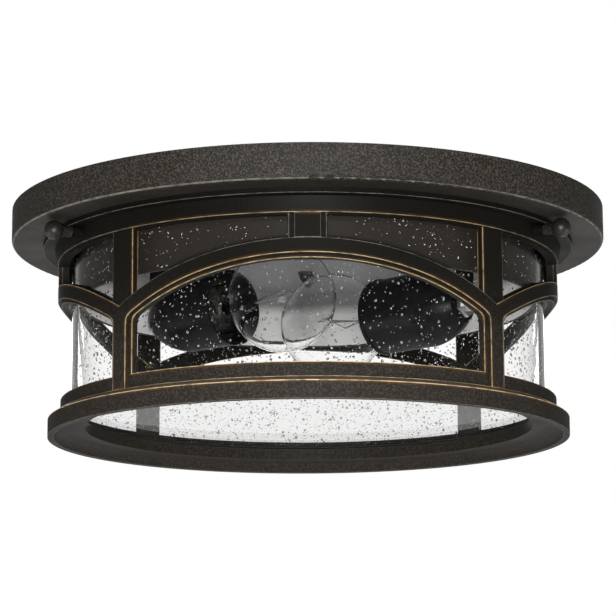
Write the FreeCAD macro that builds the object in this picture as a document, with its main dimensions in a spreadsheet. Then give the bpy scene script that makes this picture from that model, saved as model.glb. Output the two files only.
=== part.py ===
import FreeCAD, Part
import math
import os
import Sketcher

# Outdoor flush ceiling light: a shallow round pan, a cast cage of four arched bays round a
# seeded glass drum, and two lamps lying under a white dish. Lengths are in millimetres.
# The origin is the centre of the ceiling face, z points up, and the light hangs below z = 0.

Vector = FreeCAD.Vector
document = FreeCAD.newDocument("ceiling_light")
sheet = document.addObject("Spreadsheet::Sheet", "dims")
UP = Vector(0, 0, 1)
FULL_TURN = 360.0
QUARTER_TURN = 90.0

# Driving dimensions: alias, value. Heights are depths below the ceiling unless named otherwise.
DRIVING = [
    # how far a cutting tool runs past what it cuts
    ("overrun", 2.0),
    # pan, its collar and its two gaskets
    ("pan_radius", 165.0),
    ("pan_depth", 18.9),
    ("pan_wall", 1.6),
    ("pan_edge_round", 2.2),
    ("rim_flange_width", 11.0),
    ("ceiling_gasket_thickness", 1.6),
    ("ceiling_gasket_inset", 1.0),
    ("collar_step", 1.5),
    ("collar_wall", 2.0),
    ("collar_height", 9.6),
    ("top_gasket_thickness", 2.0),
    ("top_gasket_inset", 0.3),
    # cage casting, from the rim of the pan inwards and from its plate down
    ("pan_border", 17.5),
    ("flange_thickness", 2.7),
    ("flange_overhang", 6.5),
    ("ring_taper", 1.7),
    ("ring_height", 10.9),
    ("ring_bore_gap", 0.8),
    ("shoulder_drop", 0.5),
    ("lip_width", 2.3),
    ("cage_wall", 4.0),
    ("raised_step", 2.0),
    ("cage_depth", 126.4),
    ("foot_height", 9.4),
    ("foot_slope", 2.7),
    ("foot_step", 4.2),
    ("foot_land", 3.5),
    ("rail_step", 2.7),
    ("cove_depth", 5.7),
    ("cove_round", 8.0),
    ("ledge_width", 9.5),
    ("ledge_height", 11.5),
    ("sill_height", 8.45),
    # arches of the four bays, drawn on the unrolled wall
    ("window_arch_radius", 222.6),
    ("band_step", 2.4),
    ("band_width", 7.7),
    ("crown_drop", 13.0),
    ("spandrel_gap", 0.4),
    ("window_corner", 6.0),
    ("band_corner", 8.4),
    ("post_half_width", 7.7),
    ("post_step", 2.9),
    ("key_half_width", 9.75),
    ("key_step", 3.0),
    ("spandrel_top_drop", 0.6),
    # glass and its seats
    ("drum_gap", 2.0),
    ("drum_wall", 3.2),
    ("disc_gap", 0.7),
    ("disc_thickness", 4.0),
    ("seat_gasket_thickness", 0.5),
    # thumbscrews
    ("screw_drop", 5.7),
    ("screw_ball_radius", 5.2),
    ("screw_ball_reach", 10.0),
    ("screw_shank_radius", 2.0),
    ("screw_neck_radius", 3.0),
    ("screw_gap", 0.3),
    ("screw_hole_gap", 0.1),
    ("boss_radius", 3.6),
    ("boss_reach", 4.5),
    # white dish
    ("dish_gap", 0.5),
    ("dish_wall", 0.8),
    ("dish_height", 33.1),
    ("dish_corner", 13.0),
    ("dish_hem", 2.5),
    ("dish_hem_wall", 1.6),
    # mounting strap, studs and nuts
    ("strap_thickness", 2.0),
    ("strap_width", 18.0),
    ("strap_half_length", 57.15),
    ("box_slot_inset", 12.7),
    ("box_slot_radius", 2.3),
    ("box_slot_length", 12.0),
    ("strap_centre_hole", 6.0),
    ("stud_radius", 2.0),
    ("stud_gap", 0.05),
    ("stud_flange_radius", 4.2),
    ("stud_flange_thickness", 1.5),
    ("plate_hole_gap", 0.4),
    ("washer_radius", 5.6),
    ("washer_thickness", 0.8),
    ("nut_radius", 4.6),
    ("nut_hex_height", 3.6),
    ("nut_dome_height", 3.6),
    ("stud_end_gap", 1.0),
    ("ground_screw_offset", 22.0),
    ("ground_screw_radius", 1.8),
    ("ground_head_radius", 4.0),
    ("ground_head_height", 2.6),
    ("ground_flange_radius", 4.8),
    ("ground_flange_height", 0.7),
    # lead bushing in the middle of the pan
    ("bushing_bore", 4.5),
    ("bushing_wall", 1.9),
    ("bushing_flange_width", 2.6),
    ("bushing_flange_height", 1.5),
    ("bushing_hole_gap", 0.1),
    # lamp holders
    ("lamp_headroom", 7.8),
    ("left_lamp_rise", 5.0),
    ("lamp_angle", 42.0),
    ("cup_end_gap", 40.2),
    ("cup_air", 4.4),
    ("cup_wall", 1.2),
    ("cup_overlap", 8.0),
    ("cup_tail", 22.0),
    ("cup_rear_margin", 2.5),
    ("cup_lip", 0.5),
    ("cup_lip_width", 2.0),
    ("insulator_setback", 15.0),
    ("insulator_floor", 3.5),
    ("insulator_wall", 2.6),
    ("insulator_flange_height", 3.0),
    ("insulator_gap", 0.1),
    ("shell_gap", 0.3),
    ("shell_wall", 0.4),
    ("shell_length", 28.0),
    ("contact_width", 5.0),
    ("contact_thickness", 0.6),
    ("contact_length", 9.0),
    ("contact_gap", 0.3),
    ("contact_height", 2.0),
    ("nipple_radius", 4.8),
    ("nipple_wall", 1.4),
    ("nipple_gap", 0.1),
    ("nipple_inside", 2.6),
    ("nipple_outside", 4.6),
    ("jam_nut_margin", 3.2),
    ("jam_nut_height", 2.4),
    # brackets and rivets
    ("bracket_thickness", 1.6),
    ("bracket_width", 16.0),
    ("bracket_foot", 26.0),
    ("rivet_radius", 1.9),
    ("rivet_head_radius", 3.6),
    ("rivet_head_height", 1.6),
    ("rivet_gap", 0.1),
    ("rivet_first", 13.0),
    ("rivet_pitch", 8.5),
    # lamps
    ("lamp_radius", 29.8),
    ("lamp_neck_length", 48.4),
    ("lamp_neck_step", 0.9),
    ("lamp_neck_straight", 5.1),
    ("lamp_glass_wall", 0.8),
    ("lamp_neck_taper", 2.0),
    ("lamp_plug_length", 4.0),
    ("cap_radius", 13.1),
    ("cap_wall", 0.5),
    ("cap_length", 22.9),
    ("cap_rib_depth", 0.5),
    ("cap_rib_pitch", 3.6),
    ("cap_end_round", 3.0),
    ("vitrite_radius", 8.0),
    ("vitrite_height", 3.4),
    ("tip_radius", 4.6),
    ("tip_height", 1.4),
    ("stem_radius", 3.0),
    ("stem_flare_height", 10.0),
    ("stem_top_setback", 20.0),
    ("wire_radius", 0.35),
    ("filament_radius", 0.3),
    ("filament_spread", 11.0),
    ("filament_rise", 3.0),
    ("filament_crown", 3.6),
    ("wire_joint_radius", 0.5),
]


class Size:
    """A length that carries both its value and the expression that the sheet knows it by."""

    def __init__(self, value, text):
        self.value = value
        self.text = text

    def join(self, other, sign, result):
        return Size(result, "(" + self.text + sign + size(other).text + ")")

    def __add__(self, other):
        return self.join(other, " + ", self.value + size(other).value)

    def __sub__(self, other):
        return self.join(other, " - ", self.value - size(other).value)

    def __mul__(self, other):
        return self.join(other, " * ", self.value * size(other).value)

    def __truediv__(self, other):
        return self.join(other, " / ", self.value / size(other).value)

    def __neg__(self):
        return Size(-self.value, "(-" + self.text + ")")


def size(given):
    return given if isinstance(given, Size) else Size(float(given), repr(float(given)))


class Dimensions:
    """The driving sizes, each one a cell of the sheet under its own alias."""

    def __init__(self, rows):
        for row, (alias, value) in enumerate(rows, 1):
            cell = "B%d" % row
            sheet.set("A%d" % row, alias)
            sheet.set(cell, repr(value))
            sheet.setAlias(cell, alias)
            setattr(self, alias, Size(value, "dims." + alias))


dim = Dimensions(DRIVING)
document.recompute()

# Radii that follow, from the rim of the pan inwards
dim.flange_radius = dim.pan_radius - dim.pan_border
dim.ring_radius = dim.flange_radius - dim.flange_overhang
dim.lip_radius = dim.ring_radius - dim.ring_taper
dim.wall_radius = dim.lip_radius - dim.lip_width
dim.cage_bore = dim.wall_radius - dim.cage_wall
dim.raised_radius = dim.wall_radius + dim.raised_step
dim.rail_root_radius = dim.wall_radius + dim.rail_step
dim.foot_radius = dim.rail_root_radius + dim.foot_step
dim.ledge_radius = dim.cage_bore - dim.ledge_width
dim.collar_radius = dim.cage_bore + dim.collar_step
dim.drum_radius = dim.cage_bore - dim.drum_gap
dim.dish_radius = dim.drum_radius - dim.drum_wall - dim.dish_gap
dim.boss_end = dim.ring_radius + dim.boss_reach
dim.screw_ball_centre = dim.boss_end + dim.screw_ball_reach

# Depths that follow, from the plate of the pan down and from the foot of the cage up
dim.lip_depth = dim.pan_depth + dim.ring_height
dim.screw_depth = dim.pan_depth + dim.screw_drop
dim.dish_depth = dim.pan_depth + dim.dish_height
dim.foot_top_depth = dim.cage_depth - dim.foot_height
dim.rail_root_depth = dim.foot_top_depth - dim.foot_slope
dim.ledge_depth = dim.cage_depth - dim.ledge_height
dim.window_bottom_depth = dim.ledge_depth - dim.sill_height

# Arches, posts and key blocks
dim.band_lower_radius = dim.window_arch_radius + dim.band_step
dim.band_upper_radius = dim.band_lower_radius + dim.band_width
dim.arch_centre_depth = dim.lip_depth + dim.crown_drop + dim.band_upper_radius
dim.raised_post_half_width = dim.post_half_width - dim.post_step
dim.raised_key_half_width = dim.key_half_width - dim.key_step

# Strap and bushing
dim.box_slot_half_spacing = dim.strap_half_length - dim.box_slot_inset
dim.bushing_neck = dim.bushing_bore + dim.bushing_wall
dim.bushing_flange = dim.bushing_neck + dim.bushing_flange_width

# Each lamp holder is built outwards from the lamp's cap and back from the seat of its tip
dim.shell_bore = dim.cap_radius + dim.shell_gap
dim.insulator_radius = dim.shell_bore + dim.shell_wall + dim.insulator_wall
dim.insulator_length = dim.shell_length + dim.insulator_floor
dim.cup_radius = dim.insulator_radius + dim.cup_air
dim.cup_straight = dim.insulator_setback + dim.shell_length - dim.cup_overlap
dim.cup_length = dim.cup_straight + dim.cup_tail
dim.jam_nut_radius = dim.nipple_radius + dim.jam_nut_margin
dim.nipple_bore = dim.nipple_radius - dim.nipple_wall
dim.cup_rear_radius = dim.jam_nut_radius + dim.cup_rear_margin
dim.mouth_setback = dim.dish_radius - dim.dish_wall - dim.cup_end_gap - dim.cup_length
dim.lamp_depth = dim.pan_depth + dim.dish_wall + dim.lamp_headroom + dim.lamp_radius
dim.lamp_offset = dim.lamp_radius
dim.lamp_length = dim.lamp_radius * 2 + dim.lamp_neck_length
dim.lamp_seat = dim.insulator_setback + dim.shell_length + dim.insulator_gap - dim.contact_height
dim.lamp_centre_reach = dim.lamp_length - dim.lamp_radius - dim.lamp_seat
dim.lamp_neck_radius = dim.cap_radius + dim.lamp_neck_step
dim.lamp_neck_end = dim.lamp_seat - dim.tip_height - dim.vitrite_height - dim.cap_length

# Heights that several pieces share
plate_top = -dim.pan_depth + dim.pan_wall
plate_under = -dim.pan_depth
dish_ceiling = plate_under - dim.dish_wall
drum_top = plate_under - dim.top_gasket_thickness
disc_under = -dim.ledge_depth + dim.seat_gasket_thickness
disc_top = disc_under + dim.disc_thickness
drum_bottom = disc_top + dim.seat_gasket_thickness
ring_bore = dim.collar_radius + dim.ring_bore_gap
shoulder = plate_under - dim.collar_height - dim.shoulder_drop
seat_radius = dim.cage_bore - dim.disc_gap


def bind(thing, name, amount):
    """Sets one property of an object and ties it to the sheet."""
    setattr(thing, name, amount.value)
    thing.setExpression(name, amount.text)


def place(thing, x=0, y=0, z=0):
    """Moves a primitive, with each coordinate tied to the sheet."""
    spot = [size(part) for part in (x, y, z)]
    thing.Placement = FreeCAD.Placement(Vector(*[part.value for part in spot]), thing.Placement.Rotation)
    for letter, part in zip("xyz", spot):
        thing.setExpression("Placement.Base." + letter, part.text)


def cylinder(name, radius, height, x=0, y=0, z=0):
    thing = document.addObject("Part::Cylinder", name)
    bind(thing, "Radius", size(radius))
    bind(thing, "Height", size(height))
    place(thing, x, y, z)
    return thing


def block(name, length, width, height, x=0, y=0, z=0):
    """A box centred on x and y that rises from z."""
    thing = document.addObject("Part::Box", name)
    bind(thing, "Length", size(length))
    bind(thing, "Width", size(width))
    bind(thing, "Height", size(height))
    place(thing, size(x) - size(length) / 2, size(y) - size(width) / 2, z)
    return thing


def hexagon(name, radius, height, x=0, y=0, z=0):
    thing = document.addObject("Part::Prism", name)
    thing.Polygon = 6
    bind(thing, "Circumradius", size(radius))
    bind(thing, "Height", size(height))
    place(thing, x, y, z)
    return thing


def fused(name, pieces):
    thing = document.addObject("Part::MultiFuse", name)
    thing.Shapes = pieces
    thing.Label = name
    return thing


def cut(name, base, tools):
    thing = document.addObject("Part::Cut", name)
    thing.Base = base
    thing.Tool = tools[0] if len(tools) == 1 else fused(name + "_tools", tools)
    thing.Label = name
    return thing


def arc_through(start, end, radius, bulge):
    """The shorter arc of one radius between two points; bulge 1 swells to the left of the way."""
    chord = end - start
    half = chord.Length / 2
    side = Vector(-chord.y, chord.x, 0).normalize() * bulge
    sagitta = radius - math.sqrt(radius * radius - half * half)
    middle = (start + end) * 0.5 + side * sagitta
    return Part.Arc(start, middle, end)


def draw_outline(body, name, corners, arcs):
    """A closed sketch of radii and heights; arcs maps an edge to its radius and bulge."""
    plane = [item for item in body.Origin.OriginFeatures if item.Role == "XZ_Plane"][0]
    sketch = body.newObject("Sketcher::SketchObject", name + "_outline")
    sketch.AttachmentSupport = [(plane, "")]
    sketch.MapMode = "FlatFace"
    points = [Vector(size(r).value, size(z).value, 0) for r, z in corners]
    count = len(points)
    for index, start in enumerate(points):
        end = points[(index + 1) % count]
        if index in arcs:
            radius, bulge = arcs[index]
            sketch.addGeometry(arc_through(start, end, radius.value, bulge), False)
        else:
            sketch.addGeometry(Part.LineSegment(start, end), False)
    ends = [sketch_ends(sketch, index, point) for index, point in enumerate(points)]
    for index in range(count):
        following = (index + 1) % count
        leaving = 3 - ends[index]
        sketch.addConstraint(Sketcher.Constraint("Coincident", index, leaving, following, ends[following]))
    for index, (r, z) in enumerate(corners):
        fix_start(sketch, index, ends[index], r, z)
    for index, (radius, bulge) in arcs.items():
        rule = sketch.addConstraint(Sketcher.Constraint("Radius", index, radius.value))
        sketch.setExpression("Constraints[%d]" % rule, radius.text)
    return sketch


def sketch_ends(sketch, index, point):
    """Which end of an edge, 1 or 2, lies on the given point; an arc may run backwards."""
    first = sketch.getPoint(index, 1)
    second = sketch.getPoint(index, 2)
    return 1 if (first - point).Length < (second - point).Length else 2


def fix_start(sketch, edge, end, r, z):
    """Ties one end of an edge to its radius and height."""
    for axis, direction, amount in ((-2, "DistanceX", size(r)), (-1, "DistanceY", size(z))):
        if amount.value == 0:
            sketch.addConstraint(Sketcher.Constraint("PointOnObject", edge, end, axis))
        else:
            rule = Sketcher.Constraint(direction, -1, 1, edge, end, amount.value)
            index = sketch.addConstraint(rule)
            sketch.setExpression("Constraints[%d]" % index, amount.text)


def turned(name, corners, arcs=None, placement=None):
    """A body turned about its own z axis from an outline of radii and heights."""
    body = document.addObject("PartDesign::Body", name)
    body.Label = name
    sketch = draw_outline(body, name, corners, arcs or {})
    turning = body.newObject("PartDesign::Revolution", name + "_turning")
    turning.Profile = sketch
    turning.ReferenceAxis = (sketch, ["V_Axis"])
    turning.Angle = FULL_TURN
    sketch.Visibility = False
    if placement is not None:
        body.Placement = placement
    return body


def ring(name, inner, outer, low, high, placement=None):
    corners = [(inner, low), (outer, low), (outer, high), (inner, high)]
    return turned(name, corners, placement=placement)


# Pan, its collar and its gaskets

def make_pan():
    rim = dim.pan_radius
    inner = rim - dim.pan_wall
    flange_top = -dim.ceiling_gasket_thickness
    flange_under = flange_top - dim.pan_wall
    flange_end = rim - dim.rim_flange_width
    edge = dim.pan_edge_round
    corners = [
        (0, plate_under),
        (rim - edge, plate_under),
        (rim, plate_under + edge),
        (rim, 0),
        (inner, 0),
        (inner, flange_top),
        (flange_end, flange_top),
        (flange_end, flange_under),
        (inner, flange_under),
        (inner, plate_top),
        (0, plate_top),
    ]
    blank = turned("pan_blank", corners, {1: (edge, -1)})
    return cut("canopy_pan", blank, plate_holes("pan", plate_under, plate_top))


def drill(name, radius, low, high, x=0, y=0):
    """A round tool that cuts from one height to another and runs past both."""
    return cylinder(name, radius, high - low + dim.overrun * 2, x, y, low - dim.overrun)


def plate_holes(owner, low, high):
    """The wiring, stud and rivet holes that the pan and the dish share."""
    holes = [drill(owner + "_centre_hole", dim.bushing_neck + dim.bushing_hole_gap, low, high)]
    radius = dim.stud_radius + dim.plate_hole_gap
    for index, side in enumerate((1, -1)):
        name = "%s_stud_hole_%d" % (owner, index)
        holes.append(drill(name, radius, low, high, y=dim.strap_half_length * side))
    for index, (x, y) in enumerate(rivet_places()):
        name = "%s_rivet_hole_%d" % (owner, index)
        holes.append(drill(name, dim.rivet_radius + dim.rivet_gap, low, high, x, y))
    return holes


def make_ceiling_gasket():
    outer = dim.pan_radius - dim.pan_wall - dim.ceiling_gasket_inset / 2
    inner = dim.pan_radius - dim.rim_flange_width + dim.ceiling_gasket_inset
    return ring("ceiling_gasket", inner, outer, -dim.ceiling_gasket_thickness, 0)


def make_collar():
    inner = dim.collar_radius - dim.collar_wall
    return ring("cage_collar", inner, dim.collar_radius, plate_under - dim.collar_height, plate_under)


def make_top_gasket():
    inner = dim.drum_radius - dim.drum_wall - dim.top_gasket_inset
    outer = dim.collar_radius - dim.collar_wall - dim.top_gasket_inset
    return ring("drum_top_gasket", inner, outer, drum_top, plate_under)


# Dish

def make_dish():
    outer = dim.dish_radius
    inner = outer - dim.dish_wall
    hem = outer - dim.dish_hem_wall
    low = -dim.dish_depth
    bend = dim.dish_corner
    inner_bend = bend - dim.dish_wall
    corners = [
        (0, dish_ceiling),
        (outer - bend, dish_ceiling),
        (inner, plate_under - bend),
        (inner, low + dim.dish_hem),
        (hem, low + dim.dish_hem),
        (hem, low),
        (outer, low),
        (outer, plate_under - bend),
        (outer - bend, plate_under),
        (0, plate_under),
    ]
    blank = turned("dish_blank", corners, {1: (inner_bend, 1), 7: (bend, -1)})
    return cut("reflector_dish", blank, plate_holes("dish", dish_ceiling, plate_under))


# Strap that carries the pan, with its studs and nuts

def make_strap():
    under = -dim.strap_thickness
    width = dim.strap_width
    pieces = [block("strap_bar", width, dim.strap_half_length * 2, dim.strap_thickness, z=under)]
    tools = [drill("strap_middle", dim.strap_centre_hole, under, size(0))]
    for index, side in enumerate((1, -1)):
        stud_y = dim.strap_half_length * side
        name = "strap_end_%d" % index
        pieces.append(cylinder(name, width / 2, dim.strap_thickness, y=stud_y, z=under))
        name = "strap_stud_hole_%d" % index
        tools.append(drill(name, dim.stud_radius + dim.stud_gap, under, size(0), y=stud_y))
        tools += slot("strap_slot_%d" % index, dim.box_slot_half_spacing * side, under)
    hole = dim.ground_screw_radius + dim.stud_gap
    tools.append(drill("strap_ground_hole", hole, under, size(0), y=dim.ground_screw_offset))
    return cut("mounting_strap", fused("strap_bars", pieces), tools)


def slot(name, y, under):
    """The tools for one round-ended slot that runs along y through the strap."""
    straight = dim.box_slot_length - dim.box_slot_radius * 2
    height = dim.strap_thickness + dim.overrun * 2
    tools = [block(name, dim.box_slot_radius * 2, straight, height, y=y, z=under - dim.overrun)]
    for end, way in enumerate((1, -1)):
        end_name = "%s_end_%d" % (name, end)
        tools.append(drill(end_name, dim.box_slot_radius, under, size(0), y=y + straight / 2 * way))
    return tools


def stud_end():
    """The height of a stud's lower end, inside its cap nut."""
    return nut_bottom() + dim.stud_end_gap * 2


def nut_top():
    return dish_ceiling - dim.washer_thickness


def nut_bottom():
    return nut_top() - dim.nut_hex_height - dim.nut_dome_height


def make_studs():
    parts = []
    flange_z = -dim.strap_thickness - dim.stud_flange_thickness
    for index, side in enumerate((1, -1)):
        y = dim.strap_half_length * side
        parts.append(cylinder("stud_rod_%d" % index, dim.stud_radius, -stud_end(), y=y, z=stud_end()))
        name = "stud_flange_%d" % index
        parts.append(cylinder(name, dim.stud_flange_radius, dim.stud_flange_thickness, y=y, z=flange_z))
    return fused("mounting_studs", parts)


def make_washers():
    tools = []
    discs = []
    low = nut_top()
    for index, side in enumerate((1, -1)):
        y = dim.strap_half_length * side
        discs.append(cylinder("washer_disc_%d" % index, dim.washer_radius, dim.washer_thickness, y=y, z=low))
        tools.append(drill("washer_bore_%d" % index, dim.stud_radius + dim.stud_gap, low, dish_ceiling, y=y))
    return cut("sealing_washers", fused("washer_discs", discs), tools)


def make_cap_nuts():
    solids = []
    bores = []
    hex_z = nut_top() - dim.nut_hex_height
    bore_z = stud_end() - dim.stud_end_gap
    depth = nut_top() - bore_z + dim.overrun
    for index, side in enumerate((1, -1)):
        y = dim.strap_half_length * side
        solids.append(hexagon("nut_hex_%d" % index, dim.nut_radius, dim.nut_hex_height, y=y, z=hex_z))
        dome = document.addObject("Part::Cone", "nut_dome_%d" % index)
        bind(dome, "Radius1", dim.nut_radius / 2)
        bind(dome, "Radius2", dim.nut_radius - dim.stud_end_gap)
        bind(dome, "Height", dim.nut_dome_height)
        place(dome, y=y, z=nut_bottom())
        solids.append(dome)
        bores.append(cylinder("nut_bore_%d" % index, dim.stud_radius + dim.stud_gap, depth, y=y, z=bore_z))
    return cut("cap_nuts", fused("nut_blanks", solids), bores)


def make_ground_screw():
    y = dim.ground_screw_offset
    under = -dim.strap_thickness
    flange_z = under - dim.ground_flange_height
    head_z = flange_z - dim.ground_head_height
    parts = [
        cylinder("ground_shank", dim.ground_screw_radius, dim.strap_thickness, y=y, z=under),
        cylinder("ground_flange", dim.ground_flange_radius, dim.ground_flange_height, y=y, z=flange_z),
        hexagon("ground_hex", dim.ground_head_radius, dim.ground_head_height, y=y, z=head_z),
    ]
    return fused("ground_screw", parts)


def make_bushing():
    """A snap bushing that lines the wiring hole through pan and dish."""
    top = plate_top + dim.bushing_flange_height
    low = dish_ceiling - dim.bushing_flange_height
    corners = [
        (dim.bushing_bore, low),
        (dim.bushing_flange, low),
        (dim.bushing_flange, dish_ceiling),
        (dim.bushing_neck, dish_ceiling),
        (dim.bushing_neck, plate_top),
        (dim.bushing_flange, plate_top),
        (dim.bushing_flange, top),
        (dim.bushing_bore, top),
    ]
    return turned("lead_bushing", corners)


# Cage casting

def bay_prism(edges, reference):
    """A wedge that cuts one bay along the radii: the outline is drawn on the unrolled wall."""
    near = dim.cage_bore.value / 2
    far = dim.flange_radius.value + dim.overrun.value
    wires = []
    for reach in (near, far):
        pieces = []
        for edge in edges:
            spots = [Vector(reach * math.tan(s / reference), -reach, z) for s, z in edge]
            if len(spots) == 2:
                pieces.append(Part.makeLine(spots[0], spots[1]))
            elif len(spots) == 3:
                pieces.append(Part.Arc(*spots).toShape())
            else:
                curve = Part.BSplineCurve()
                curve.interpolate(spots)
                pieces.append(curve.toShape())
        wires.append(Part.Wire(pieces))
    return Part.makeLoft(wires, True, True)


def arch_height(radius, s):
    return -dim.arch_centre_depth.value + math.sqrt(radius * radius - s * s)


def arch_edge(radius, start, end):
    """Nine points along one arch, from one arc length to another."""
    steps = 8
    spots = []
    for step in range(steps + 1):
        s = start + (end - start) * step / steps
        spots.append((s, arch_height(radius, s)))
    return spots


def arched_opening(radius, half, low, corner):
    """A window outline: two uprights, two rounded shoulders and an arch."""
    slope = math.asin(half / radius)
    turn = math.pi / 2 - slope
    reach = corner * math.tan(turn / 2)
    peak = arch_height(radius, half)
    arch_half = half - reach * math.cos(slope)
    inset = corner / math.cos(turn / 2) - corner
    lean = slope + turn / 2
    middle = (half - inset * math.sin(lean), peak - inset * math.cos(lean))
    upright = peak - reach
    right = [(half, upright), middle, (arch_half, arch_height(radius, arch_half))]
    left = [(-s, z) for s, z in reversed(right)]
    return [
        [(-half, low), (half, low)],
        [(half, low), right[0]],
        right,
        arch_edge(radius, arch_half, -arch_half),
        left,
        [left[2], (-half, low)],
    ]


def above_arch(radius, half, top, overrun):
    """All that lies over one arch, out to the joint with the next bay."""
    valley = arch_height(radius, half)
    wide = half + overrun
    return [
        [(-wide, top), (wide, top)],
        [(wide, top), (wide, valley)],
        [(wide, valley), (half, valley)],
        arch_edge(radius, half, -half),
        [(-half, valley), (-wide, valley)],
        [(-wide, valley), (-wide, top)],
    ]


def spandrel(radius, near_key, near_post, top):
    """The opening over one side of an arch, between the key block and the post."""
    return [
        [(near_key, top), (near_post, top)],
        [(near_post, top), (near_post, arch_height(radius, near_post))],
        arch_edge(radius, near_post, near_key),
        [(near_key, arch_height(radius, near_key)), (near_key, top)],
    ]


def mirrored(edges):
    return [[(-s, z) for s, z in reversed(edge)] for edge in reversed(edges)]


def four_bays(shape):
    copies = []
    for bay in range(4):
        turned_copy = shape.copy()
        turned_copy.rotate(Vector(0, 0, 0), UP, QUARTER_TURN * bay)
        copies.append(turned_copy)
    return copies


def tube(inner, outer, low, high):
    height = high - low
    base = Vector(0, 0, low)
    return Part.makeCylinder(outer, height, base).cut(Part.makeCylinder(inner, height, base))


def cage_turning():
    """The whole casting before its bays are opened, turned from one outline."""
    foot_low = -dim.cage_depth
    cove_top = foot_low + dim.cove_depth
    outside = [
        (ring_bore, plate_under),
        (dim.flange_radius, plate_under),
        (dim.flange_radius, plate_under - dim.flange_thickness),
        (dim.ring_radius, plate_under - dim.flange_thickness),
        (dim.lip_radius, -dim.lip_depth),
        (dim.wall_radius, -dim.lip_depth),
        (dim.wall_radius, -dim.rail_root_depth),
        (dim.rail_root_radius, -dim.rail_root_depth),
        (dim.foot_radius, -dim.foot_top_depth),
        (dim.foot_radius, foot_low),
        (dim.foot_radius - dim.foot_land, foot_low),
    ]
    inside = [
        (dim.cage_bore, cove_top),
        (dim.ledge_radius, cove_top),
        (dim.ledge_radius, -dim.ledge_depth),
        (dim.cage_bore, -dim.ledge_depth),
        (dim.cage_bore, shoulder),
        (ring_bore, shoulder),
    ]
    flat = [Vector(size(r).value, size(z).value, 0) for r, z in outside + inside]
    edges = []
    for index, start in enumerate(flat):
        end = flat[(index + 1) % len(flat)]
        if index == len(outside) - 1:
            edges.append(arc_through(start, end, dim.cove_round.value, -1).toShape())
        else:
            edges.append(Part.makeLine(start, end))
    face = Part.Face(Part.Wire(edges))
    face.rotate(Vector(0, 0, 0), Vector(1, 0, 0), QUARTER_TURN)
    return face.revolve(Vector(0, 0, 0), UP, FULL_TURN)


def screw_angles():
    """Two screws lie towards the front and one at the back, a third of a turn apart."""
    return [FULL_TURN / 6 - QUARTER_TURN, -FULL_TURN / 6 - QUARTER_TURN, FULL_TURN / 2 - QUARTER_TURN]


def radial(angle):
    turn = math.radians(angle)
    return Vector(math.cos(turn), math.sin(turn), 0)


def screw_boss(angle):
    way = radial(angle)
    start = (ring_bore.value + dim.ring_radius.value) / 2
    base = way * start + Vector(0, 0, -dim.screw_depth.value)
    return Part.makeCylinder(dim.boss_radius.value, dim.boss_end.value - start, base, way)


def screw_bore(angle):
    way = radial(angle)
    start = dim.cage_bore.value
    base = way * start + Vector(0, 0, -dim.screw_depth.value)
    radius = dim.screw_shank_radius.value + dim.screw_hole_gap.value
    return Part.makeCylinder(radius, dim.flange_radius.value - start, base, way)


def raised_layer():
    """The second layer of the arcade: lower posts, arch bands and key blocks."""
    outer = dim.raised_radius.value
    bay_half = outer * math.pi / 4
    post = dim.raised_post_half_width.value
    over = dim.spandrel_gap.value
    low = -dim.rail_root_depth.value - over
    top = -dim.lip_depth.value + over
    inner = (dim.cage_bore.value + dim.wall_radius.value) / 2
    layer = tube(inner, outer, -dim.rail_root_depth.value, -dim.lip_depth.value)
    window = arched_opening(dim.band_lower_radius.value, bay_half - post, low, dim.band_corner.value)
    over_band = above_arch(dim.band_upper_radius.value, bay_half, top, over)
    cutters = four_bays(bay_prism(window, outer)) + four_bays(bay_prism(over_band, outer))
    half = dim.raised_key_half_width.value
    centre = arch_height(dim.band_upper_radius.value, 0) - over
    key = [
        [(-half, centre), (half, centre)],
        [(half, centre), (half, top)],
        [(half, top), (-half, top)],
        [(-half, top), (-half, centre)],
    ]
    keys = []
    for copy in four_bays(bay_prism(key, outer)):
        keys.append(copy.common(tube(inner, outer, centre, -dim.lip_depth.value)))
    return layer.cut(cutters).fuse(keys)


def make_cage():
    wall = dim.wall_radius.value
    raised = dim.raised_radius.value
    post = dim.post_half_width.value
    window_half = wall * math.pi / 4 - post
    window_low = -dim.window_bottom_depth.value
    window = arched_opening(dim.window_arch_radius.value, window_half, window_low, dim.window_corner.value)
    side_half = raised * (math.pi / 4 - post / wall)
    key_half = raised * dim.key_half_width.value / wall
    top = -dim.lip_depth.value - dim.spandrel_top_drop.value
    opening = spandrel(dim.band_upper_radius.value + dim.spandrel_gap.value, key_half, side_half, top)
    cutters = four_bays(bay_prism(window, wall))
    cutters += four_bays(bay_prism(opening, raised))
    cutters += four_bays(bay_prism(mirrored(opening), raised))
    shape = cage_turning().fuse([raised_layer()] + [screw_boss(angle) for angle in screw_angles()])
    shape = shape.cut(cutters + [screw_bore(angle) for angle in screw_angles()])
    casting = document.addObject("Part::Feature", "cage_casting")
    casting.Label = "cage_casting"
    casting.Shape = largest_solid(shape.removeSplitter())
    return casting


def largest_solid(shape):
    solids = sorted(shape.Solids, key=lambda solid: solid.Volume)
    print("cage casting solids:", len(solids))
    return solids[-1]


# Glass and its gaskets

def make_glass():
    drum_inner = dim.drum_radius - dim.drum_wall
    ledge_inner = dim.ledge_radius + dim.disc_gap
    ring("glass_drum", drum_inner, dim.drum_radius, drum_bottom, drum_top)
    disc = [(0, disc_under), (seat_radius, disc_under), (seat_radius, disc_top), (0, disc_top)]
    turned("glass_disc", disc)
    ring("disc_gasket", ledge_inner, seat_radius, -dim.ledge_depth, disc_under)
    ring("drum_seat_gasket", drum_inner, seat_radius, disc_top, drum_bottom)
    return ["glass_drum", "glass_disc", "disc_gasket", "drum_seat_gasket"]


# Thumbscrews: a ball head, a short neck and a plain shank that meets the collar

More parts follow.
